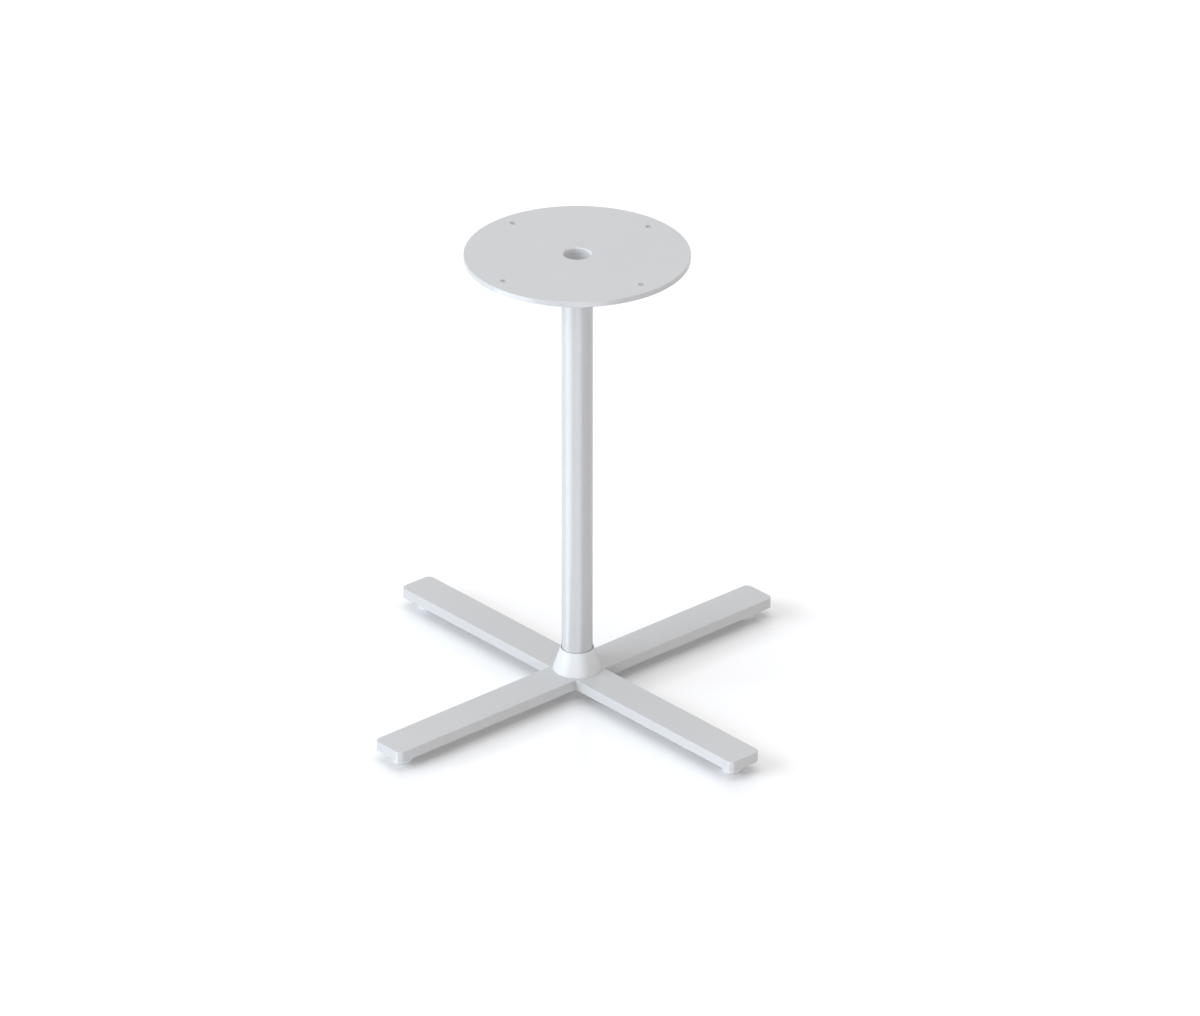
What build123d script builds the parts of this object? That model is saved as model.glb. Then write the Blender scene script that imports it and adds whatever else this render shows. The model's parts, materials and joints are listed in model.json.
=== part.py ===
from build123d import *
import os

# Coffee table base: a round top plate welded on a tube column, which a screw from below
# holds on a flat four-armed cross that stands on four glides.
# Millimetres. +Z is up, the origin lies on the floor under the column, the arms run along X and Y.

# Top plate
plate_diameter = 200.0
plate_thickness = 5.0
plate_rim_radius = 0.5
plate_bore_diameter = 24.5
plate_bore_chamfer = 0.8
table_screw_circle = 170.0
table_screw_hole_diameter = 6.5
table_screw_count = 4

# Column tube and the fillet weld that holds it under the plate
tube_diameter = 28.0
tube_wall = 1.5
tube_length = 407.0
plate_weld_leg = 4.0

# Tapped plug in the tube's lower end and its flush weld
plug_length = 24.0
plug_clearance = 0.1
plug_weld_size = 1.6

# Cone collar round the foot of the column
collar_height = 21.5
collar_spread = 7.0
collar_lip_wall = 0.65
collar_foot_wall = 1.7
collar_bore_length = 3.0
collar_clearance = 0.5

# Cross cut from one plate
arm_span = 450.0
arm_width = 35.0
arm_thickness = 10.0
arm_corner_radius = 6.0
arm_edge_radius = 0.5
arm_underside_chamfer = 0.4

# Countersunk socket screw through the cross into the plug
fixing_screw_diameter = 10.0
fixing_screw_length = 30.0
fixing_head_diameter = 18.5
fixing_head_land = 0.6
fixing_head_recess = 0.5
fixing_hole_clearance = 0.5
fixing_tip_chamfer = 1.0
fixing_socket_width = 6.0
fixing_socket_depth = 3.6
thread_clearance = 0.1

# Glides and their pan head screws in blind holes under the arm ends
glide_diameter = 18.0
glide_height = 10.0
glide_inset = 18.0
glide_foot_chamfer = 1.0
glide_bore_clearance = 0.25
glide_head_clearance = 0.5
glide_head_recess = 1.8
glide_screw_diameter = 4.0
glide_head_diameter = 8.0
glide_head_height = 3.1
glide_head_chamfer = 1.2
glide_tip_chamfer = 0.5
blind_hole_cover = 3.5
blind_hole_end_gap = 1.0

# Levels, from the floor up: glide_seat is the web on which a glide screw's head bears
glide_seat = glide_head_recess + glide_head_height
arm_bottom = glide_height
arm_top = arm_bottom + arm_thickness
plate_bottom = arm_top + tube_length
plate_top = plate_bottom + plate_thickness

# Radii that several pieces share
tube_outer = tube_diameter / 2
tube_inner = tube_outer - tube_wall
fixing_radius = fixing_screw_diameter / 2
glide_screw_radius = glide_screw_diameter / 2

# Where the glides stand: one under each arm end
glide_reach = arm_span / 2 - glide_inset
glide_sites = {
    "right": (glide_reach, 0.0),
    "back": (0.0, glide_reach),
    "left": (-glide_reach, 0.0),
    "front": (0.0, -glide_reach),
}


def outline(*points):
    """Closed section in the XZ plane through (radius, height) points."""
    return Plane.XZ * make_face(Polyline(*points, close=True))


def turned(section):
    """Body of revolution about the column's axis."""
    return revolve(section, Axis.Z)


def corners_at(section, radius, *heights):
    """Corner points of an XZ section at one radius and the given heights."""
    return [
        corner
        for corner in section.vertices()
        if abs(corner.X - radius) < 1e-6 and min(abs(corner.Z - height) for height in heights) < 1e-6
    ]


def make_top_plate():
    rim = plate_diameter / 2
    bore = plate_bore_diameter / 2
    section = outline(
        (bore, plate_bottom),
        (rim, plate_bottom),
        (rim, plate_top),
        (bore, plate_top),
    )
    section = fillet(corners_at(section, rim, plate_bottom, plate_top), plate_rim_radius)
    section = chamfer(corners_at(section, bore, plate_top), plate_bore_chamfer)
    hole = Cylinder(table_screw_hole_diameter / 2, 2 * plate_thickness)
    holes = PolarLocations(table_screw_circle / 2, table_screw_count)
    return turned(section) - Pos(Z=plate_bottom) * holes * hole


def make_plate_weld():
    return turned(
        outline(
            (tube_outer, plate_bottom),
            (tube_outer + plate_weld_leg, plate_bottom),
            (tube_outer, plate_bottom - plate_weld_leg),
        )
    )


def make_column_tube():
    return turned(
        outline(
            (tube_inner, arm_top),
            (tube_outer, arm_top),
            (tube_outer, plate_bottom),
            (tube_inner, plate_bottom),
        )
    )


def make_tube_plug():
    bore = fixing_radius + thread_clearance
    skirt = tube_inner - plug_clearance
    return turned(
        outline(
            (bore, arm_top),
            (skirt - plug_weld_size, arm_top),
            (skirt, arm_top + plug_weld_size),
            (skirt, arm_top + plug_length),
            (bore, arm_top + plug_length),
        )
    )


def make_plug_weld():
    skirt = tube_inner - plug_clearance
    return turned(
        outline(
            (skirt - plug_weld_size, arm_top),
            (tube_inner, arm_top),
            (tube_inner, arm_top + plug_weld_size),
            (skirt, arm_top + plug_weld_size),
        )
    )


def make_base_collar():
    bore = tube_outer + collar_clearance
    lip = bore + collar_lip_wall
    foot = lip + collar_spread
    top = arm_top + collar_height
    # A thin cone, open below, that guides on the tube only along the short bore at its lip.
    return turned(
        outline(
            (foot - collar_foot_wall, arm_top),
            (foot, arm_top),
            (lip, top),
            (bore, top),
            (bore, top - collar_bore_length),
        )
    )


def fixing_seat_radius(height):
    """Radius of the 90 degree cone on which the fixing screw's head seats."""
    land_top = arm_bottom + fixing_head_recess + fixing_head_land
    return fixing_head_diameter / 2 + land_top - height


def make_base_cross():
    plan = Rectangle(arm_span, arm_width) + Rectangle(arm_width, arm_span)
    tips = [corner for corner in plan.vertices() if max(abs(corner.X), abs(corner.Y)) > arm_width]
    plan = fillet(tips, arm_corner_radius)
    cross = extrude(Pos(Z=arm_bottom) * plan, arm_thickness)
    cross = fillet(cross.faces().sort_by(Axis.Z)[-1].edges(), arm_edge_radius)
    cross = chamfer(cross.faces().sort_by(Axis.Z)[0].edges(), arm_underside_chamfer)

    seat = fixing_seat_radius(arm_bottom)
    shank = fixing_radius + fixing_hole_clearance
    cross -= turned(
        outline(
            (0.0, arm_bottom),
            (seat, arm_bottom),
            (shank, arm_bottom + seat - shank),
            (shank, arm_top),
            (0.0, arm_top),
        )
    )
    hole_depth = arm_thickness - blind_hole_cover
    hole = Cylinder(glide_screw_radius + thread_clearance, hole_depth)
    for x, y in glide_sites.values():
        cross -= Pos(x, y, arm_bottom + hole_depth / 2) * hole
    return cross


def make_fixing_screw():
    head = fixing_head_diameter / 2
    bottom = arm_bottom + fixing_head_recess
    land_top = bottom + fixing_head_land
    tip = bottom + fixing_screw_length
    screw = turned(
        outline(
            (0.0, bottom),
            (head, bottom),
            (head, land_top),
            (fixing_radius, land_top + head - fixing_radius),
            (fixing_radius, tip - fixing_tip_chamfer),
            (fixing_radius - fixing_tip_chamfer, tip),
            (0.0, tip),
        )
    )
    socket = RegularPolygon(fixing_socket_width / 2, 6, major_radius=False)
    return screw - extrude(Pos(Z=bottom) * socket, fixing_socket_depth)


def make_glide():
    rim = glide_diameter / 2
    bore = glide_screw_radius + glide_bore_clearance
    well = glide_head_diameter / 2 + glide_head_clearance
    section = outline(
        (well, 0.0),
        (rim, 0.0),
        (rim, glide_height),
        (bore, glide_height),
        (bore, glide_seat),
        (well, glide_seat),
    )
    section = chamfer(corners_at(section, rim, 0.0), glide_foot_chamfer)
    return turned(section)


def make_glide_screw():
    head = glide_head_diameter / 2
    tip = arm_top - blind_hole_cover - blind_hole_end_gap
    section = outline(
        (0.0, glide_head_recess),
        (head, glide_head_recess),
        (head, glide_seat),
        (glide_screw_radius, glide_seat),
        (glide_screw_radius, tip - glide_tip_chamfer),
        (glide_screw_radius - glide_tip_chamfer, tip),
        (0.0, tip),
    )
    section = chamfer(corners_at(section, head, glide_head_recess), glide_head_chamfer)
    return turned(section)


pieces = {
    "top_plate": make_top_plate(),
    "plate_weld": make_plate_weld(),
    "column_tube": make_column_tube(),
    "tube_plug": make_tube_plug(),
    "plug_weld": make_plug_weld(),
    "base_collar": make_base_collar(),
    "base_cross": make_base_cross(),
    "fixing_screw": make_fixing_screw(),
}
glide = make_glide()
glide_screw = make_glide_screw()
for side, (x, y) in glide_sites.items():
    pieces[f"glide_{side}"] = Pos(x, y) * glide
    pieces[f"glide_screw_{side}"] = Pos(x, y) * glide_screw

os.makedirs("parts", exist_ok=True)
for name, piece in pieces.items():
    export_step(piece, f"parts/{name}.step")
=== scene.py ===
import json
import math

import bmesh
import bpy
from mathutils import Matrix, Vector


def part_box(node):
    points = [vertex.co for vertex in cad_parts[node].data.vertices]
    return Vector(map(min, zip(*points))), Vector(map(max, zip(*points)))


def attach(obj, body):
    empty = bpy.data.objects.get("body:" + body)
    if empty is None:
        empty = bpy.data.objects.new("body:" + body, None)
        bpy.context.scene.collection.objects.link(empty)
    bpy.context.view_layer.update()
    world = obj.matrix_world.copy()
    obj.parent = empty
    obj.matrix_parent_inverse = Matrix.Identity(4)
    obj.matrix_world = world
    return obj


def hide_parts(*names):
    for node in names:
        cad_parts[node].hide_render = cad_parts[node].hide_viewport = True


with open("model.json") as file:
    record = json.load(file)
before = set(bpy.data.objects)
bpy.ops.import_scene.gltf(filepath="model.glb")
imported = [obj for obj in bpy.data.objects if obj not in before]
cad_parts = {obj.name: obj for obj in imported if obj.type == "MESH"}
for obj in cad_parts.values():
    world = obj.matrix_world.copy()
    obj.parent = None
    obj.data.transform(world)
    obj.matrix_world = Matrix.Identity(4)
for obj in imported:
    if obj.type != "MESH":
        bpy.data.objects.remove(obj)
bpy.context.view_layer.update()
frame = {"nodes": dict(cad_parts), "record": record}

# Coffee table base: a round plate on a tube column, a cone collar and a flat cross on four glides.
# Metres. +Z is up, the origin lies on the floor under the column, the arms run along X and Y.

mounts = {mount["name"]: mount["dims"] for mount in frame["record"]["mounts"]}
MM = 0.001
ARM_SIDES = ("right", "back", "left", "front")

# Sizes that the frame gives
plate_low, plate_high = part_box("top_plate")
tube_low, tube_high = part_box("column_tube")
weld_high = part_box("plate_weld")[1]
collar_low, collar_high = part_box("base_collar")
cross_low, cross_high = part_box("base_cross")
fixing_low, fixing_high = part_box("fixing_screw")
glide_low, glide_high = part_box("glide_right")
glide_screw_low, glide_screw_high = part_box("glide_screw_right")
bore_radius = mounts["centre_bore"]["r_mm"] * MM
table_screws = mounts["table_screws"]
hole_radius = table_screws["hole_r_mm"] * MM
hole_reach = table_screws["pcd_mm"] / 2 * MM
glide_reach = (glide_low.x + glide_high.x) / 2
arm_count = len(ARM_SIDES)

# Finer sizes of the pieces
PLATE_RIM_ROUND = 0.5 * MM
PLATE_RIM_BAND = 3.0 * MM
BORE_CHAMFER = 0.8 * MM
HOLE_EDGE = 0.25 * MM
TUBE_WALL = 1.5 * MM
ARM_WIDTH = 35.0 * MM
ARM_CORNER = 6.0 * MM
ARM_EDGE_ROUND = 0.5 * MM
ARM_UNDERSIDE_CHAMFER = 0.4 * MM
COLLAR_CLEARANCE = 0.5 * MM
COLLAR_LIP_WALL = 0.65 * MM
COLLAR_FOOT_WALL = 1.7 * MM
COLLAR_BORE_LENGTH = 3.0 * MM
COLLAR_EDGE_ROUND = 0.2 * MM
COUNTERSINK_RADIUS = 10.35 * MM
FIXING_HOLE_RADIUS = 5.5 * MM
BLIND_HOLE_RADIUS = 2.1 * MM
BLIND_HOLE_DEPTH = 6.5 * MM
GLIDE_BORE_RADIUS = 2.25 * MM
GLIDE_WELL_RADIUS = 4.5 * MM
GLIDE_WELL_DEPTH = 4.9 * MM
GLIDE_FOOT_CHAMFER = 1.0 * MM
GLIDE_EDGE_ROUND = 0.3 * MM
WELD_CROWN = 0.5 * MM
WELD_RIPPLE = 0.28 * MM
WELD_RIPPLES = 46
WELD_RIPPLE_BOW = 0.55

# Finish: painted light as a pale coat inside the column, fainter in the table screw holes, and a lathe's
# tool marks
COLUMN_INSIDE = tube_high.x - TUBE_WALL + 0.1 * MM
HOLE_INSIDE = hole_radius + 0.05 * MM
HOLE_PAINTED_LIGHT = 0.4
TOOL_RING = 0.22 * MM

# Screws: heads, drives and threads, whose depth, flank and crest are shares of the pitch
FIXING_PITCH = 1.5 * MM
FIXING_SHANK_RADIUS = 5.0 * MM
FIXING_HEAD_LAND = 0.6 * MM
FIXING_SOCKET_HALF = 3.0 * MM
FIXING_SOCKET_DEPTH = 3.6 * MM
FIXING_NECK = 1.2 * MM
FIXING_TIP_CHAMFER = 1.0 * MM
GLIDE_PITCH = 0.7 * MM
GLIDE_SHANK_RADIUS = 2.0 * MM
GLIDE_HEAD_HEIGHT = 3.1 * MM
GLIDE_HEAD_ROUND = 1.2 * MM
GLIDE_RECESS_REACH = 2.0 * MM
GLIDE_RECESS_DEPTH = 1.7 * MM
GLIDE_RECESS_TAPER = 0.62
GLIDE_NECK = 0.5 * MM
GLIDE_TIP_CHAMFER = 0.5 * MM
SCREW_EDGE = 0.2 * MM
THREAD_DEPTH = 0.6134
THREAD_FLANK = 0.3125
THREAD_CREST = 0.125
RECESS_WING = math.tan(math.radians(15))

# How finely round shapes are divided
RIM_SIDES = 256
ROUND_SIDES = 192
BORE_SIDES = 96
HOLE_SIDES = 48
SCREW_SIDES = 96
THREAD_ROWS = 4
WELD_ROWS = 14
WELD_RIPPLE_STEPS = 10
CORNER_STEPS = 12
EDGE_STEPS = 5
SHARP_ANGLE = math.radians(32)
MERGE_DISTANCE = 1e-6

# Floor, its glow with a painted shadow beside the arms, and the light that comes from all round
FLOOR_REACH = 9.0
FLOOR_DROP = 0.1 * MM
FLOOR_CLOUD = 0.4
FLOOR_LIFT = 0.1
PAINTED_SHADOW_REACH = 40 * MM
FAR_FLOOR_LIFT = 0.3
FAR_FLOOR_STARTS = 0.3
FAR_FLOOR_FADE = 2.0
AMBIENT = 0.495
AMBIENT_COLOUR = (1.0, 0.945, 0.92)

# Upright lamps: how far off they stand, where the left one is, and its colour
LAMP_DISTANCE = 4.2
LAMP_FOOT = -4.2
LEFT_LAMP_HEADING = (-0.9423, 0.3348)
LEFT_LAMP_WIDTH = 3.39
LEFT_LAMP_SPLIT = 0.5
LEFT_LAMP_COLOUR = (0.79, 0.89, 1.0)

# Camera: where it stands, how far it looks down, its lens in millimetres and the photo's framing
CAMERA_PLACE = (-4.156, -4.688, 3.369)
CAMERA_HEADING = (0.6634, 0.7483)
CAMERA_PITCH = math.radians(26.64)
CAMERA_LENS = 236.256
CAMERA_SENSOR = 36.0
CAMERA_SHIFT = (0.01894, -0.03772)


class Wire:
    """A node's output in a tree. Python operators on wires add the Math nodes that do the sum."""

    def __init__(self, tree, socket=None):
        self.tree = tree
        self.socket = socket

    def node(self, kind, settings=None, inputs=None, output=0):
        """Adds a node with its settings, then the values or wires of its inputs, and gives one output."""
        node = self.tree.nodes.new(kind)
        for name, value in (settings or {}).items():
            setattr(node, name, value)
        for key, value in (inputs or {}).items():
            if isinstance(value, Wire):
                self.tree.links.new(value.socket, node.inputs[key])
            else:
                node.inputs[key].default_value = value
        return Wire(self.tree, node.outputs[output] if len(node.outputs) else None)

    def math(self, operation, other=0.0):
        return self.node("ShaderNodeMath", {"operation": operation}, {0: self, 1: other})

    def clamped(self):
        return self.node("ShaderNodeClamp", inputs={"Value": self})

    def __add__(self, other):
        return self.math("ADD", other)

    def __radd__(self, other):
        return self.math("ADD", other)

    def __sub__(self, other):
        return self.math("SUBTRACT", other)

    def __rsub__(self, other):
        return (self * -1.0).math("ADD", other)

    def __mul__(self, other):
        return self.math("MULTIPLY", other)

    def __rmul__(self, other):
        return self.math("MULTIPLY", other)

    def __truediv__(self, other):
        return self.math("DIVIDE", other)


# Materials


def new_surface(name):
    """Empty material, a wire to start from and the place on the piece in metres."""
    material = bpy.data.materials.new(name)
    material.use_nodes = True
    material.node_tree.nodes.clear()
    start = Wire(material.node_tree)
    return material, start, start.node("ShaderNodeTexCoord", output="Object")


def noise(place, grain, detail=2.0, roughness=0.5):
    """Soft noise from 0 to 1, with humps about one grain apart."""
    inputs = {"Vector": place, "Scale": 1.0 / grain, "Detail": detail, "Roughness": roughness}
    return place.node("ShaderNodeTexNoise", inputs=inputs)


def stretched(place, scale):
    """The place drawn out along an axis whose scale is small."""
    return place.node("ShaderNodeMapping", {"vector_type": "POINT"}, {"Vector": place, "Scale": scale})


def tint(factor, low, high):
    """Colour between two colours, each given as numbers or as a wire."""
    ends = [end if isinstance(end, Wire) else (*end, 1.0) for end in (low, high)]
    return factor.node("ShaderNodeMix", {"data_type": "RGBA"}, {0: factor, 6: ends[0], 7: ends[1]}, output=2)


def axis_distance(place):
    """How far a place is from the column's axis."""
    level = place.node("ShaderNodeVectorMath", {"operation": "MULTIPLY"}, {0: place, 1: (1.0, 1.0, 0.0)})
    return place.node("ShaderNodeVectorMath", {"operation": "LENGTH"}, {0: level}, output="Value")


def height_of(place):
    """How high a place is above the floor."""
    return place.node("ShaderNodeSeparateXYZ", inputs={0: place}, output="Z")


def along_and_aside(place):
    """Seen from above: how far out along the nearest arm a place is, and how far to its side."""
    x = place.node("ShaderNodeSeparateXYZ", inputs={0: place}, output="X").math("ABSOLUTE")
    y = place.node("ShaderNodeSeparateXYZ", inputs={0: place}, output="Y").math("ABSOLUTE")
    return x.math("MAXIMUM", y), x.math("MINIMUM", y)


def arm_gap(place):
    """Seen from above: how far a place is from the arms."""
    along, aside = along_and_aside(place)
    return (along - cross_high.x).math("MAXIMUM", aside - ARM_WIDTH / 2).math("MAXIMUM", 0.0)


def hole_distance(place):
    """Seen from above: how far a place is from the middle of the nearest table screw hole."""
    along, aside = along_and_aside(place)
    beyond = along - hole_reach
    return (aside * aside + beyond * beyond).math("SQRT")


def bumped(height, depth):
    """Normal of a surface that the height, from 0 to 1, lifts by up to the depth in metres."""
    return height.node("ShaderNodeBump", inputs={"Strength": 1.0, "Distance": depth, "Height": height})


def close_surface(start, **inputs):
    """Ends a material in one shader; an underscore in an input's name stands for a space."""
    named = {name.replace("_", " "): value for name, value in inputs.items()}
    shader = start.node("ShaderNodeBsdfPrincipled", inputs=named)
    start.node("ShaderNodeOutputMaterial", inputs={"Surface": shader})


def make_powder_coat():
    """Light grey satin powder coat: film drift, fine specks, orange peel, and painted light as a pale coat
    inside.
    """
    material, start, place = new_surface("powder_coat")
    drift = noise(place, 55 * MM, 3.0)
    specks = noise(place, 0.35 * MM, 1.0)
    peel = noise(place, 1.6 * MM, 2.0, 0.4)
    tone = 0.75 * drift + 0.25 * specks
    coat = tint(tone, (0.560, 0.565, 0.569), (0.588, 0.593, 0.597))
    # Painted light: the coat turns pale inside the column and bore, and partly pale in the table screw
    # holes, so these hollows look lit
    in_column = axis_distance(place).math("LESS_THAN", COLUMN_INSIDE)
    in_hole = hole_distance(place).math("LESS_THAN", HOLE_INSIDE)
    above_cross = height_of(place).math("GREATER_THAN", cross_high.z)
    inside = in_column.math("MAXIMUM", HOLE_PAINTED_LIGHT * in_hole) * above_cross
    close_surface(
        start,
        Base_Color=tint(inside, coat, (0.86, 0.86, 0.87)),
        Roughness=0.18 + 0.08 * drift,
        Normal=bumped(peel, 0.008 * MM),
    )
    return material


def make_collar_plastic():
    """Pale moulded plastic with faint flow marks and a fine spark-eroded grain."""
    material, start, place = new_surface("collar_plastic")
    flow = noise(stretched(place, (1.0, 1.0, 0.25)), 6 * MM, 3.0)
    grain = noise(place, 0.3 * MM, 2.0)
    close_surface(
        start,
        Base_Color=tint(flow, (0.70, 0.71, 0.715), (0.75, 0.76, 0.765)),
        Roughness=0.24 + 0.1 * grain,
        Normal=bumped(grain, 0.004 * MM),
    )
    return material


def make_glide_plastic():
    """Milky moulded plastic, scuffed towards its foot."""
    material, start, place = new_surface("glide_plastic")
    cloud = noise(place, 9 * MM, 3.0)
    grain = noise(place, 0.4 * MM, 3.0)
    scuff = (1.0 - height_of(place) / GLIDE_FOOT_CHAMFER).clamped() * grain
    close_surface(
        start,
        Base_Color=tint(cloud - 0.5 * scuff, (0.70, 0.715, 0.73), (0.78, 0.79, 0.80)),
        Roughness=0.4 + 0.12 * cloud + 0.2 * scuff,
        Normal=bumped(grain, 0.006 * MM),
    )
    return material


def make_zinc():
    """Bright zinc plating with a faint blue and straw cast."""
    material, start, place = new_surface("zinc_plating")
    cast = noise(place, 3.5 * MM, 3.0)
    crystals = noise(place, 0.25 * MM, 3.0)
    close_surface(
        start,
        Base_Color=tint(cast, (0.58, 0.61, 0.66), (0.68, 0.67, 0.63)),
        Roughness=0.24 + 0.2 * crystals,
        Normal=bumped(crystals, 0.005 * MM),
        Metallic=1.0,
    )
    return material


def make_bare_steel():
    """Turned steel: fine tool rings round the column's axis under a thin oily haze."""
    material, start, place = new_surface("bare_steel")
    haze = noise(place, 6 * MM, 3.0)
    rings = ((axis_distance(place) + height_of(place)) * (math.tau / TOOL_RING)).math("SINE") * 0.5 + 0.5
    close_surface(
        start,
        Base_Color=tint(haze, (0.44, 0.44, 0.45), (0.56, 0.56, 0.55)),
        Roughness=0.28 + 0.18 * haze,
        Normal=bumped(rings, 0.008 * MM),
        Metallic=1.0,
    )
    return material


# Shapes: loops of points, walls between them and flat caps


def round_form(angle):
    """Edge of a circle as a share of its radius."""
    return 1.0


def hexagon_form(angle):
    """Edge of a hexagon as a share of half its width across flats."""
    sixth = math.pi / 3
    return 1.0 / math.cos((angle + sixth / 2) % sixth - sixth / 2)


def recess_form(angle):
    """Edge of a four-winged screwdriver recess as a share of its reach."""
    across, along = sorted((abs(math.cos(angle)), abs(math.sin(angle))))
    return min(1.0 / along, RECESS_WING / max(across, 1e-9))


def circle(radius, height, sides, centre=(0.0, 0.0), form=round_form):
    """Closed loop of points round a vertical axis."""
    angles = [math.tau * step / sides for step in range(sides)]
    return [
        (
            centre[0] + radius * form(angle) * math.cos(angle),
            centre[1] + radius * form(angle) * math.sin(angle),
            height,
        )
        for angle in angles
    ]


def arc(corner, before, after, rounding, steps):
    """Points that round off the corner between its two neighbours."""
    to_before = (before - corner).normalized()
    to_after = (after - corner).normalized()
    half = to_before.angle(to_after) / 2
    centre = corner + (to_before + to_after).normalized() * (rounding / math.sin(half))
    start = corner + to_before * (rounding / math.tan(half)) - centre
    end = corner + to_after * (rounding / math.tan(half)) - centre
    turn = math.pi - 2 * half
    return [
        centre + (math.sin(turn * (1 - share)) * start + math.sin(turn * share) * end) / math.sin(turn)
        for share in (step / steps for step in range(steps + 1))
    ]


def section(corners, closed=True):
    """Section through (radius, height, rounding) corners; a corner without rounding stays sharp."""
    flat = [Vector(corner[:2]) for corner in corners]
    points = []
    for index, corner in enumerate(corners):
        inner = closed or 0 < index < len(corners) - 1
        if inner and len(corner) == 3:
            after = flat[(index + 1) % len(flat)]
            points += arc(flat[index], flat[index - 1], after, corner[2], EDGE_STEPS)
        else:
            points.append(flat[index])
    return points


class Skin:
    """A surface in the making."""

    def __init__(self):
        self.mesh = bmesh.new()

    def wall(self, outlines, closed=False):
        """Quads between outlines with equally many points; gives the first and the last loop."""
        loops = [[self.mesh.verts.new(point) for point in outline] for outline in outlines]
        for low, high in zip(loops, loops[1:] + loops[:1] if closed else loops[1:]):
            for here in range(len(low)):
                self.mesh.faces.new((low[here - 1], low[here], high[here], high[here - 1]))
        return loops[0], loops[-1]

    def cap(self, *loops):
        """Flat face inside the first loop, open inside the others."""
        pairs = [pair for loop in loops for pair in zip(loop, loop[1:] + loop[:1])]
        edges = [self.mesh.edges.get(pair) for pair in pairs]
        bmesh.ops.triangle_fill(self.mesh, edges=edges, use_beauty=True, normal=(0.0, 0.0, 1.0))

    def disc(self, outline):
        """One flat face inside an outline."""
        self.mesh.faces.new([self.mesh.verts.new(point) for point in outline])

    def turn(self, points, sides, closed=False, centre=(0.0, 0.0)):
        """Wall that a section sweeps round a vertical axis."""
        return self.wall([circle(radius, height, sides, centre) for radius, height in points], closed)

    def done(self, name):
        """The surface as a plain mesh."""
        mesh = bpy.data.meshes.new(name)
        self.mesh.to_mesh(mesh)
        self.mesh.free()
        return mesh


def add_piece(name, mesh, material, slot, *nodes):
    """Shows a mesh in place of its nodes, smooth on curves and crisp on edges."""
    shell = bmesh.new()
    shell.from_mesh(mesh)
    bmesh.ops.recalc_face_normals(shell, faces=shell.faces)
    shell.to_mesh(mesh)
    shell.free()
    mesh.materials.clear()
    mesh.materials.append(material)
    mesh.shade_smooth()
    mesh.set_sharp_from_angle(angle=SHARP_ANGLE)
    piece = bpy.data.objects.new(name, mesh)
    bpy.context.scene.collection.objects.link(piece)
    weighted = piece.modifiers.new("flat_faces_stay_flat", "WEIGHTED_NORMAL")
    weighted.keep_sharp = True
    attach(piece, "root")
    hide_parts(*nodes)


# Geometry trees: what repeats or follows a rule


def new_tree(name, sizes, counts=()):
    """Geometry tree with a start mesh, a finish and named sizes and counts as its inputs."""
    tree = bpy.data.node_groups.new(name, "GeometryNodeTree")
    tree.interface.new_socket("Mesh", in_out="OUTPUT", socket_type="NodeSocketGeometry")
    tree.interface.new_socket("Start", in_out="INPUT", socket_type="NodeSocketGeometry")
    tree.interface.new_socket("Finish", in_out="INPUT", socket_type="NodeSocketMaterial")
    for size in sizes:
        tree.interface.new_socket(size, in_out="INPUT", socket_type="NodeSocketFloat")
    for count in counts:
        tree.interface.new_socket(count, in_out="INPUT", socket_type="NodeSocketInt")
    group = tree.nodes.new("NodeGroupInput")
    return tree, {socket.name: Wire(tree, socket) for socket in group.outputs if socket.name}


def close_tree(mesh, given):
    """Ends a tree: real geometry with its finish on it."""
    real = mesh.node("GeometryNodeRealizeInstances", inputs={0: mesh})
    finished = mesh.node("GeometryNodeSetMaterial", inputs={"Geometry": real, "Material": given["Finish"]})
    mesh.node("NodeGroupOutput", inputs={0: finished})


def sheet_of_rows(start, columns, rows):
    """Grid whose X runs once round and whose Y counts the rows; gives it, the turn and the row."""
    sizes = {"Size X": math.tau, "Size Y": rows, "Vertices X": columns + 1, "Vertices Y": rows + 1}
    grid = start.node("GeometryNodeMeshGrid", inputs=sizes)
    place = start.node("GeometryNodeInputPosition")
    turn = start.node("ShaderNodeSeparateXYZ", inputs={0: place}, output="X")
    row = start.node("ShaderNodeSeparateXYZ", inputs={0: place}, output="Y") + rows * 0.5
    return grid, turn, row


def wrapped(grid, turn, radius, height, extra=None):
    """The grid bent round the axis, joined with an extra mesh, its seams and poles closed."""
    spot = {"X": radius * turn.math("COSINE"), "Y": radius * turn.math("SINE"), "Z": height}
    position = grid.node("ShaderNodeCombineXYZ", inputs=spot)
    bent = grid.node("GeometryNodeSetPosition", inputs={"Geometry": grid, "Position": position})
    joint = grid.tree.nodes.new("GeometryNodeJoinGeometry")
    for part in filter(None, (bent, extra)):
        grid.tree.links.new(part.socket, joint.inputs[0])
    whole = Wire(grid.tree, joint.outputs[0])
    return grid.node("GeometryNodeMergeByDistance", inputs={"Geometry": whole, "Distance": MERGE_DISTANCE})


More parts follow.
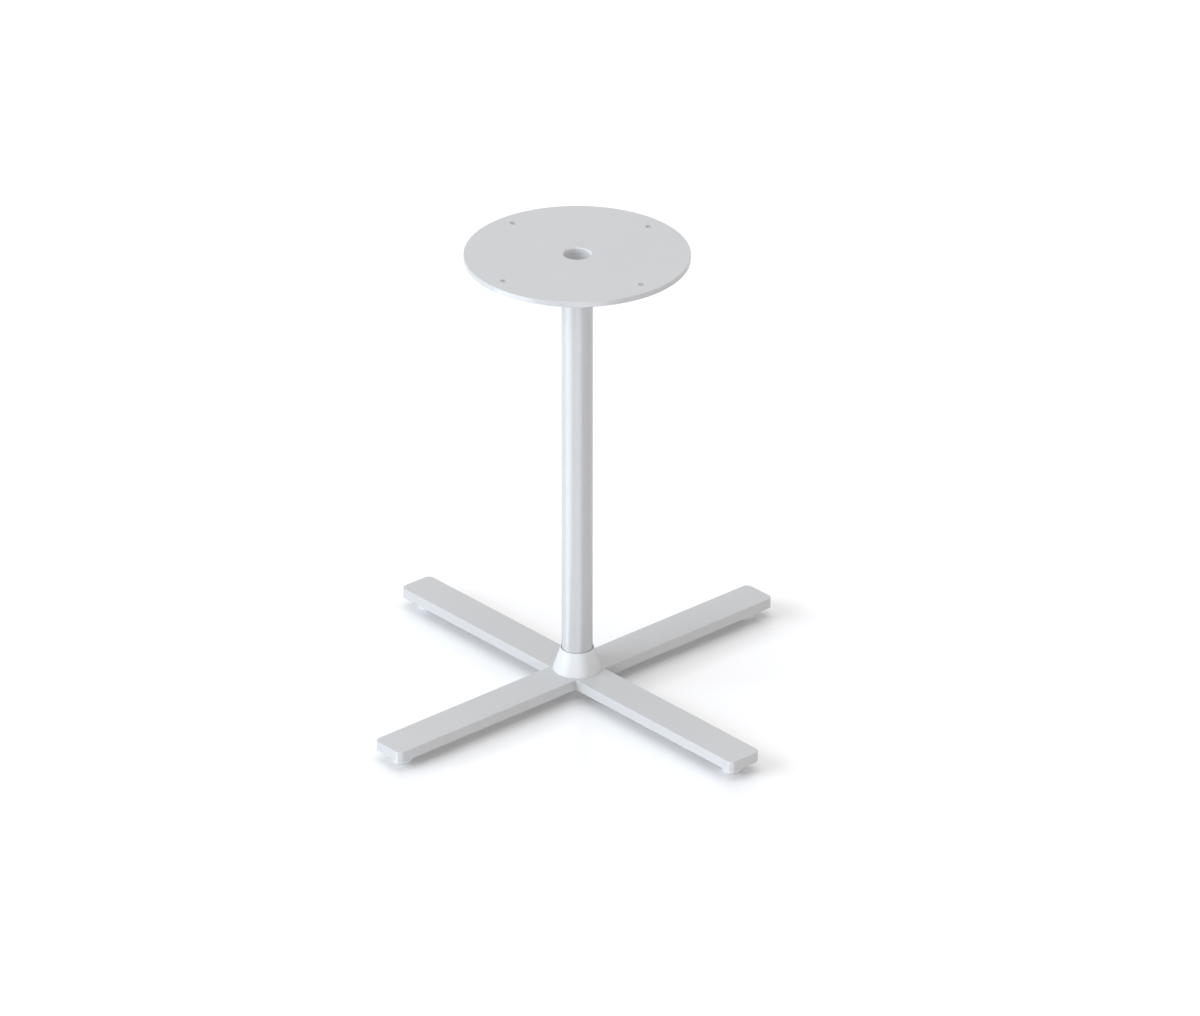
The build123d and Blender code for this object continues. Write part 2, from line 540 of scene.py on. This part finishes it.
def make_thread_tree():
    """Threaded shank on a start mesh that ends in a ring at the thread's root."""
    sizes = ("Radius", "Pitch", "Base", "Length", "Tip Radius")
    tree, given = new_tree("thread", sizes, ("Sides", "Rows"))
    start = given["Start"]
    rows = given["Rows"]
    pitch = given["Pitch"]
    grid, turn, row = sheet_of_rows(start, given["Sides"], rows)
    lap = (row / THREAD_ROWS).math("FLOOR")
    step = row - THREAD_ROWS * lap
    flanks = step.clamped() + (step - 2.0).clamped()
    rise = THREAD_FLANK * flanks + THREAD_CREST * (step - 1.0).clamped()
    climb = (lap + rise + turn / math.tau - 1.0) * pitch
    height = climb.math("MAXIMUM", 0.0).math("MINIMUM", given["Length"])
    crest = (step - 1.5).math("ABSOLUTE").math("LESS_THAN", 1.0)
    root = given["Radius"] - THREAD_DEPTH * pitch
    thread = root + THREAD_DEPTH * pitch * crest
    run_in = thread.math("MINIMUM", root + height)
    run_out = run_in.math("MINIMUM", given["Tip Radius"] + given["Length"] - height)
    shank = run_out * row.math("LESS_THAN", rows - 0.5)
    close_tree(wrapped(grid, turn, shank, given["Base"] + height, start), given)
    return tree


def make_weld_tree():
    """Fillet weld round a tube under a plate, with crescent ripples along its run."""
    sizes = ("Radius", "Leg", "Plate Height", "Crown", "Ripple")
    tree, given = new_tree("weld", sizes, ("Ripples", "Rows"))
    rows = given["Rows"]
    leg = given["Leg"]
    grid, turn, row = sheet_of_rows(given["Start"], given["Ripples"] * WELD_RIPPLE_STEPS, rows)
    share = ((row - 1.0) / (rows - 2.0)).clamped()
    arch = 4.0 * share * (1.0 - share)
    phase = (turn / math.tau + 0.5) * given["Ripples"] + WELD_RIPPLE_BOW * arch
    scale = phase.math("FRACT")
    swell = (given["Crown"] + given["Ripple"] * (1.0 - scale * scale)) * arch * math.sqrt(0.5)
    front = row.math("GREATER_THAN", 0.5) * row.math("LESS_THAN", rows - 0.5)
    radius = given["Radius"] + front * (leg * share + swell)
    height = given["Plate Height"] - front * (leg * (1.0 - share) + swell)
    close_tree(wrapped(grid, turn, radius, height), given)
    return tree


def make_arm_end_tree():
    """The start mesh once under each arm end, turned with its arm."""
    tree, given = new_tree("arm_ends", ("Reach",), ("Arms",))
    start = given["Start"]
    ends = start.node(
        "GeometryNodeMeshCircle", inputs={"Vertices": given["Arms"], "Radius": given["Reach"]}
    )
    number = start.node("GeometryNodeInputIndex")
    turned = start.node("ShaderNodeCombineXYZ", inputs={"Z": math.tau * number / given["Arms"]})
    copies = start.node(
        "GeometryNodeInstanceOnPoints", inputs={"Points": ends, "Instance": start, "Rotation": turned}
    )
    close_tree(copies, given)
    return tree


def grown(name, tree, finish, sizes, start=None):
    """Plain mesh that a geometry tree gives for its named sizes."""
    seed = bpy.data.objects.new(name, start or bpy.data.meshes.new(name))
    bpy.context.scene.collection.objects.link(seed)
    modifier = seed.modifiers.new(tree.name, "NODES")
    modifier.node_group = tree
    values = {"Finish": finish, **sizes}
    for item in tree.interface.items_tree:
        if item.in_out == "INPUT" and item.name in values:
            modifier[item.identifier] = values[item.name]
    graph = bpy.context.evaluated_depsgraph_get()
    mesh = bpy.data.meshes.new_from_object(seed.evaluated_get(graph))
    bpy.data.objects.remove(seed)
    return mesh


# Pieces


def make_plate():
    """Round plate with a softened rim, a bore in its middle and the table screw holes."""
    rim = plate_high.x
    low = plate_low.z
    top = plate_high.z
    band = rim - PLATE_RIM_BAND
    skin = Skin()
    edge = section(
        [(band, low), (rim, low, PLATE_RIM_ROUND), (rim, top, PLATE_RIM_ROUND), (band, top)], closed=False
    )
    openings = [skin.turn(edge, RIM_SIDES)]
    bore = [(bore_radius, low), (bore_radius, top - BORE_CHAMFER), (bore_radius + BORE_CHAMFER, top)]
    openings.append(skin.turn(bore, BORE_SIDES))
    hole = [(hole_radius, low), (hole_radius, top - HOLE_EDGE), (hole_radius + HOLE_EDGE, top)]
    for number in range(table_screws["count"]):
        angle = math.tau * number / table_screws["count"]
        centre = (hole_reach * math.cos(angle), hole_reach * math.sin(angle))
        openings.append(skin.turn(hole, HOLE_SIDES, centre=centre))
    skin.cap(*[first for first, last in openings])
    skin.cap(*[last for first, last in openings])
    add_piece("painted_plate", skin.done("painted_plate"), powder_coat, "powder_coat", "top_plate")


def make_column():
    """Plain round tube."""
    outer = tube_high.x
    inner = outer - TUBE_WALL
    corners = [(inner, tube_low.z), (outer, tube_low.z), (outer, tube_high.z), (inner, tube_high.z)]
    skin = Skin()
    skin.turn(section(corners), ROUND_SIDES, closed=True)
    add_piece("painted_tube", skin.done("painted_tube"), powder_coat, "powder_coat", "column_tube")


def make_weld():
    """Rippled bead under the plate, round the tube."""
    sizes = {
        "Radius": tube_high.x,
        "Leg": weld_high.x - tube_high.x,
        "Plate Height": weld_high.z,
        "Crown": WELD_CROWN,
        "Ripple": WELD_RIPPLE,
        "Ripples": WELD_RIPPLES,
        "Rows": WELD_ROWS,
    }
    mesh = grown("weld_bead", make_weld_tree(), powder_coat, sizes)
    add_piece("weld_bead", mesh, powder_coat, "powder_coat", "plate_weld")


def make_collar():
    """Thin cone that guides on the tube at its lip."""
    bore = tube_high.x + COLLAR_CLEARANCE
    lip = bore + COLLAR_LIP_WALL
    foot = collar_high.x
    low = collar_low.z
    top = collar_high.z
    corners = [
        (foot - COLLAR_FOOT_WALL, low),
        (foot, low, COLLAR_EDGE_ROUND),
        (lip, top, COLLAR_EDGE_ROUND),
        (bore, top, COLLAR_EDGE_ROUND),
        (bore, top - COLLAR_BORE_LENGTH),
    ]
    skin = Skin()
    skin.turn(section(corners), ROUND_SIDES, closed=True)
    add_piece("cone_collar", skin.done("cone_collar"), collar_plastic, "collar_plastic", "base_collar")


def cross_outline(inset, height):
    """Outline of the four arms, drawn in by an inset: round tips, sharp inner corners."""
    half = ARM_WIDTH / 2
    reach = cross_high.x
    rounding = ARM_CORNER - inset
    arm = [(half - inset, inset - half)]
    for side in (-1, 0):
        across = (half - ARM_CORNER) * (2 * side + 1)
        for step in range(CORNER_STEPS + 1):
            angle = math.pi / 2 * (side + step / CORNER_STEPS)
            along = reach - ARM_CORNER + rounding * math.cos(angle)
            arm.append((along, across + rounding * math.sin(angle)))
    outline = []
    for number in range(arm_count):
        angle = math.tau * number / arm_count
        turn = (math.cos(angle), math.sin(angle))
        outline += [(x * turn[0] - y * turn[1], x * turn[1] + y * turn[0], height) for x, y in arm]
    return outline


def make_cross():
    """Four arms in one piece, with the countersunk hole and the blind holes from below."""
    low = cross_low.z
    top = cross_high.z
    skin = Skin()
    edge = [(ARM_UNDERSIDE_CHAMFER, low), (0.0, low + ARM_UNDERSIDE_CHAMFER)]
    for step in range(EDGE_STEPS + 1):
        angle = math.pi / 2 * step / EDGE_STEPS
        inset = ARM_EDGE_ROUND * (1 - math.cos(angle))
        edge.append((inset, top - ARM_EDGE_ROUND * (1 - math.sin(angle))))
    under, over = skin.wall([cross_outline(inset, height) for inset, height in edge])
    cone_top = low + COUNTERSINK_RADIUS - FIXING_HOLE_RADIUS
    hole = [(COUNTERSINK_RADIUS, low), (FIXING_HOLE_RADIUS, cone_top), (FIXING_HOLE_RADIUS, top)]
    hole_low, hole_top = skin.turn(hole, BORE_SIDES)
    mouths = []
    blind = [(BLIND_HOLE_RADIUS, low), (BLIND_HOLE_RADIUS, low + BLIND_HOLE_DEPTH)]
    for number in range(arm_count):
        angle = math.tau * number / arm_count
        centre = (glide_reach * math.cos(angle), glide_reach * math.sin(angle))
        mouth, end = skin.turn(blind, HOLE_SIDES, centre=centre)
        skin.cap(end)
        mouths.append(mouth)
    skin.cap(over, hole_top)
    skin.cap(under, hole_low, *mouths)
    add_piece("painted_cross", skin.done("painted_cross"), powder_coat, "powder_coat", "base_cross")


def thread_sizes(radius, pitch, base, tip, tip_chamfer):
    """Inputs of the thread tree for one screw's shank."""
    laps = math.ceil((tip - base) / pitch) + 2
    return {
        "Radius": radius,
        "Pitch": pitch,
        "Base": base,
        "Length": tip - base,
        "Tip Radius": radius - tip_chamfer,
        "Sides": SCREW_SIDES,
        "Rows": THREAD_ROWS * laps + 1,
    }


def make_fixing_screw(thread):
    """Countersunk screw with a hexagon socket."""
    head = fixing_high.x
    low = fixing_low.z
    land = low + FIXING_HEAD_LAND
    cone_top = land + head - FIXING_SHANK_RADIUS
    neck = cone_top + FIXING_NECK
    root = FIXING_SHANK_RADIUS - THREAD_DEPTH * FIXING_PITCH
    base = neck + FIXING_SHANK_RADIUS - root
    socket = [
        circle(FIXING_SOCKET_HALF, low + depth, SCREW_SIDES, form=hexagon_form)
        for depth in (FIXING_SOCKET_DEPTH, 2 * SCREW_EDGE)
    ]
    outside = [
        (FIXING_SOCKET_HALF + 4 * SCREW_EDGE, low),
        (head - SCREW_EDGE, low),
        (head, low + SCREW_EDGE),
        (head, land),
        (FIXING_SHANK_RADIUS, cone_top),
        (FIXING_SHANK_RADIUS, neck),
        (root, base),
    ]
    skin = Skin()
    loops = socket + [circle(radius, height, SCREW_SIDES) for radius, height in outside]
    skin.cap(skin.wall(loops)[0])
    sizes = thread_sizes(FIXING_SHANK_RADIUS, FIXING_PITCH, base, fixing_high.z, FIXING_TIP_CHAMFER)
    mesh = grown("socket_screw", thread, zinc, sizes, skin.done("socket_screw_head"))
    add_piece("socket_screw", mesh, zinc, "zinc_screw", "fixing_screw")


def make_glide_screws(thread, arm_ends):
    """Pan head screws with a cross recess, one in each glide."""
    head = (glide_screw_high.x - glide_screw_low.x) / 2
    low = glide_screw_low.z
    seat = low + GLIDE_HEAD_HEIGHT
    neck = seat + GLIDE_NECK
    root = GLIDE_SHANK_RADIUS - THREAD_DEPTH * GLIDE_PITCH
    base = neck + GLIDE_SHANK_RADIUS - root
    recess = [
        circle(GLIDE_RECESS_REACH * reach, low + depth, SCREW_SIDES, form=recess_form)
        for reach, depth in ((GLIDE_RECESS_TAPER, GLIDE_RECESS_DEPTH), (1.0, 0.0))
    ]
    face = GLIDE_RECESS_REACH + 3 * SCREW_EDGE
    outside = section(
        [
            (face, low),
            (head, low, GLIDE_HEAD_ROUND),
            (head, seat, SCREW_EDGE),
            (GLIDE_SHANK_RADIUS, seat),
            (GLIDE_SHANK_RADIUS, neck),
            (root, base),
        ],
        closed=False,
    )
    skin = Skin()
    loops = recess + [circle(radius, height, SCREW_SIDES) for radius, height in outside]
    skin.cap(skin.wall(loops)[0])
    sizes = thread_sizes(GLIDE_SHANK_RADIUS, GLIDE_PITCH, base, glide_screw_high.z, GLIDE_TIP_CHAMFER)
    screw = grown("glide_screw", thread, zinc, sizes, skin.done("glide_screw_head"))
    mesh = grown("glide_screws", arm_ends, zinc, {"Reach": glide_reach, "Arms": arm_count}, screw)
    add_piece("glide_screws", mesh, zinc, "zinc_screw", *arm_nodes("glide_screw"))


def make_glides(arm_ends):
    """Round glides with a well for the screw head, one under each arm end."""
    rim = (glide_high.x - glide_low.x) / 2
    low = glide_low.z
    top = glide_high.z
    corners = [
        (GLIDE_WELL_RADIUS, low, GLIDE_EDGE_ROUND),
        (rim - GLIDE_FOOT_CHAMFER, low, GLIDE_EDGE_ROUND),
        (rim, low + GLIDE_FOOT_CHAMFER, GLIDE_EDGE_ROUND),
        (rim, top, GLIDE_EDGE_ROUND),
        (GLIDE_BORE_RADIUS, top),
        (GLIDE_BORE_RADIUS, low + GLIDE_WELL_DEPTH),
        (GLIDE_WELL_RADIUS, low + GLIDE_WELL_DEPTH),
    ]
    skin = Skin()
    skin.turn(section(corners), BORE_SIDES, closed=True)
    sizes = {"Reach": glide_reach, "Arms": arm_count}
    mesh = grown("glides", arm_ends, glide_plastic, sizes, skin.done("glide"))
    add_piece("glides", mesh, glide_plastic, "glide_plastic", *arm_nodes("glide"))


def arm_nodes(kind):
    """Names of the four nodes of one kind."""
    return [f"{kind}_{side}" for side in ARM_SIDES]


def dress_node(name, material):
    """New finish on a node that keeps its own shape."""
    materials = frame["nodes"][name].data.materials
    materials.clear()
    materials.append(material)


# Stage: floor, light and camera


def make_floor():
    """Round floor a hair below the glides, unseen by mirror rays, so that the lamps' lower parts show."""
    skin = Skin()
    skin.disc(circle(FLOOR_REACH, -FLOOR_DROP, RIM_SIDES))
    floor = bpy.data.objects.new("floor", skin.done("floor"))
    floor.data.materials.append(make_floor_surface())
    floor.visible_glossy = False
    bpy.context.scene.collection.objects.link(floor)


def seen_directly(start):
    """1 for rays from the camera, mirrors and glass, 0 for light that is scattered."""
    camera = start.node("ShaderNodeLightPath", output="Is Camera Ray")
    glossy = start.node("ShaderNodeLightPath", output="Is Glossy Ray")
    through = start.node("ShaderNodeLightPath", output="Is Transmission Ray")
    return camera.math("MAXIMUM", glossy).math("MAXIMUM", through)


def make_floor_surface():
    """White, slightly glossy floor that takes the shadow; its glow fades out beside the arms as a painted
    shadow and grows to white further off.
    """
    material, start, place = new_surface("floor")
    tone = noise(place, FLOOR_CLOUD)
    # Painted shadow: the floor's glow fades out close to the arms, so the floor beside them is darker
    painted_shadow_fade = (arm_gap(place) / PAINTED_SHADOW_REACH).clamped()
    far = ((axis_distance(place) - FAR_FLOOR_STARTS) / FAR_FLOOR_FADE).clamped()
    glow_and_painted_shadow = FLOOR_LIFT * painted_shadow_fade + (FAR_FLOOR_LIFT - FLOOR_LIFT) * far
    close_surface(
        start,
        Base_Color=tint(tone, (0.96, 0.96, 0.96), (0.98, 0.98, 0.98)),
        Roughness=0.12,
        Emission_Color=seen_directly(start) * glow_and_painted_shadow,
        Emission_Strength=1.0,
    )
    return material


def make_world():
    """Even light from all round, which looks white where it is seen directly."""
    world = bpy.data.worlds.new("studio")
    world.use_nodes = True
    world.node_tree.nodes.clear()
    start = Wire(world.node_tree)
    fill = {"Color": (*AMBIENT_COLOUR, 1.0), "Strength": AMBIENT}
    ambient = start.node("ShaderNodeBackground", inputs=fill)
    white = start.node("ShaderNodeBackground", inputs={"Color": (1.0, 1.0, 1.0, 1.0), "Strength": 1.0})
    both = start.node("ShaderNodeMixShader", inputs={0: seen_directly(start), 1: ambient, 2: white})
    start.node("ShaderNodeOutputWorld", inputs={"Surface": both})
    bpy.context.scene.world = world


def add_softbox(name, place, facing, size, power, colour, mirrored=True):
    """Rectangular lamp that shines against the facing direction; unless mirrored, no gloss shows it."""
    lamp = bpy.data.lights.new(name, "AREA")
    lamp.shape = "RECTANGLE"
    lamp.size = size[0]
    lamp.size_y = size[1]
    lamp.energy = power
    lamp.color = colour
    holder = bpy.data.objects.new(name, lamp)
    holder.location = place
    holder.rotation_euler = Vector(facing).to_track_quat("Z", "Y").to_euler()
    holder.visible_camera = False
    holder.visible_glossy = mirrored
    bpy.context.scene.collection.objects.link(holder)


def add_upright_softbox(name, heading, width, low, high, **light):
    """Softbox that stands off to one side of the column, from a low edge up to a high one."""
    place = (heading[0] * LAMP_DISTANCE, heading[1] * LAMP_DISTANCE, (low + high) / 2)
    add_softbox(name, place, (*heading, 0.0), (width, high - low), **light)


def add_camera():
    """Camera at the photo's viewing angle."""
    data = bpy.data.cameras.new("camera")
    data.lens = CAMERA_LENS
    data.sensor_width = CAMERA_SENSOR
    data.sensor_fit = "HORIZONTAL"
    data.shift_x, data.shift_y = CAMERA_SHIFT
    camera = bpy.data.objects.new("camera", data)
    camera.location = CAMERA_PLACE
    level = Vector((*CAMERA_HEADING, 0.0)).normalized() * math.cos(CAMERA_PITCH)
    ahead = Vector((level.x, level.y, -math.sin(CAMERA_PITCH)))
    camera.rotation_euler = ahead.to_track_quat("-Z", "Y").to_euler()
    bpy.context.scene.collection.objects.link(camera)
    bpy.context.scene.camera = camera


powder_coat = make_powder_coat()
collar_plastic = make_collar_plastic()
glide_plastic = make_glide_plastic()
zinc = make_zinc()
bare_steel = make_bare_steel()

make_plate()
make_column()
make_weld()
make_collar()
make_cross()
thread_tree = make_thread_tree()
arm_end_tree = make_arm_end_tree()
make_fixing_screw(thread_tree)
make_glide_screws(thread_tree, arm_end_tree)
make_glides(arm_end_tree)
dress_node("tube_plug", bare_steel)
dress_node("plug_weld", bare_steel)

make_floor()
make_world()
add_upright_softbox(
    "left_softbox",
    heading=LEFT_LAMP_HEADING,
    width=LEFT_LAMP_WIDTH,
    low=LAMP_FOOT,
    high=LEFT_LAMP_SPLIT,
    power=216.0,
    colour=LEFT_LAMP_COLOUR,
)
add_upright_softbox(
    "high_left_softbox",
    heading=LEFT_LAMP_HEADING,
    width=LEFT_LAMP_WIDTH,
    low=LEFT_LAMP_SPLIT,
    high=4.2,
    power=170.0,
    colour=LEFT_LAMP_COLOUR,
    mirrored=False,
)
add_upright_softbox(
    "front_softbox",
    heading=(-0.4933, -0.8698),
    width=3.05,
    low=LAMP_FOOT,
    high=0.9,
    power=132.0,
    colour=(0.96, 0.97, 1.0),
)
add_softbox(
    "top_softbox",
    place=(0.0, 0.0, 7.0),
    facing=(0.0, 0.0, 1.0),
    size=(6.2, 6.2),
    power=198.0,
    colour=(0.94, 0.975, 1.0),
)
add_camera()
bpy.context.scene.view_settings.view_transform = "Standard"
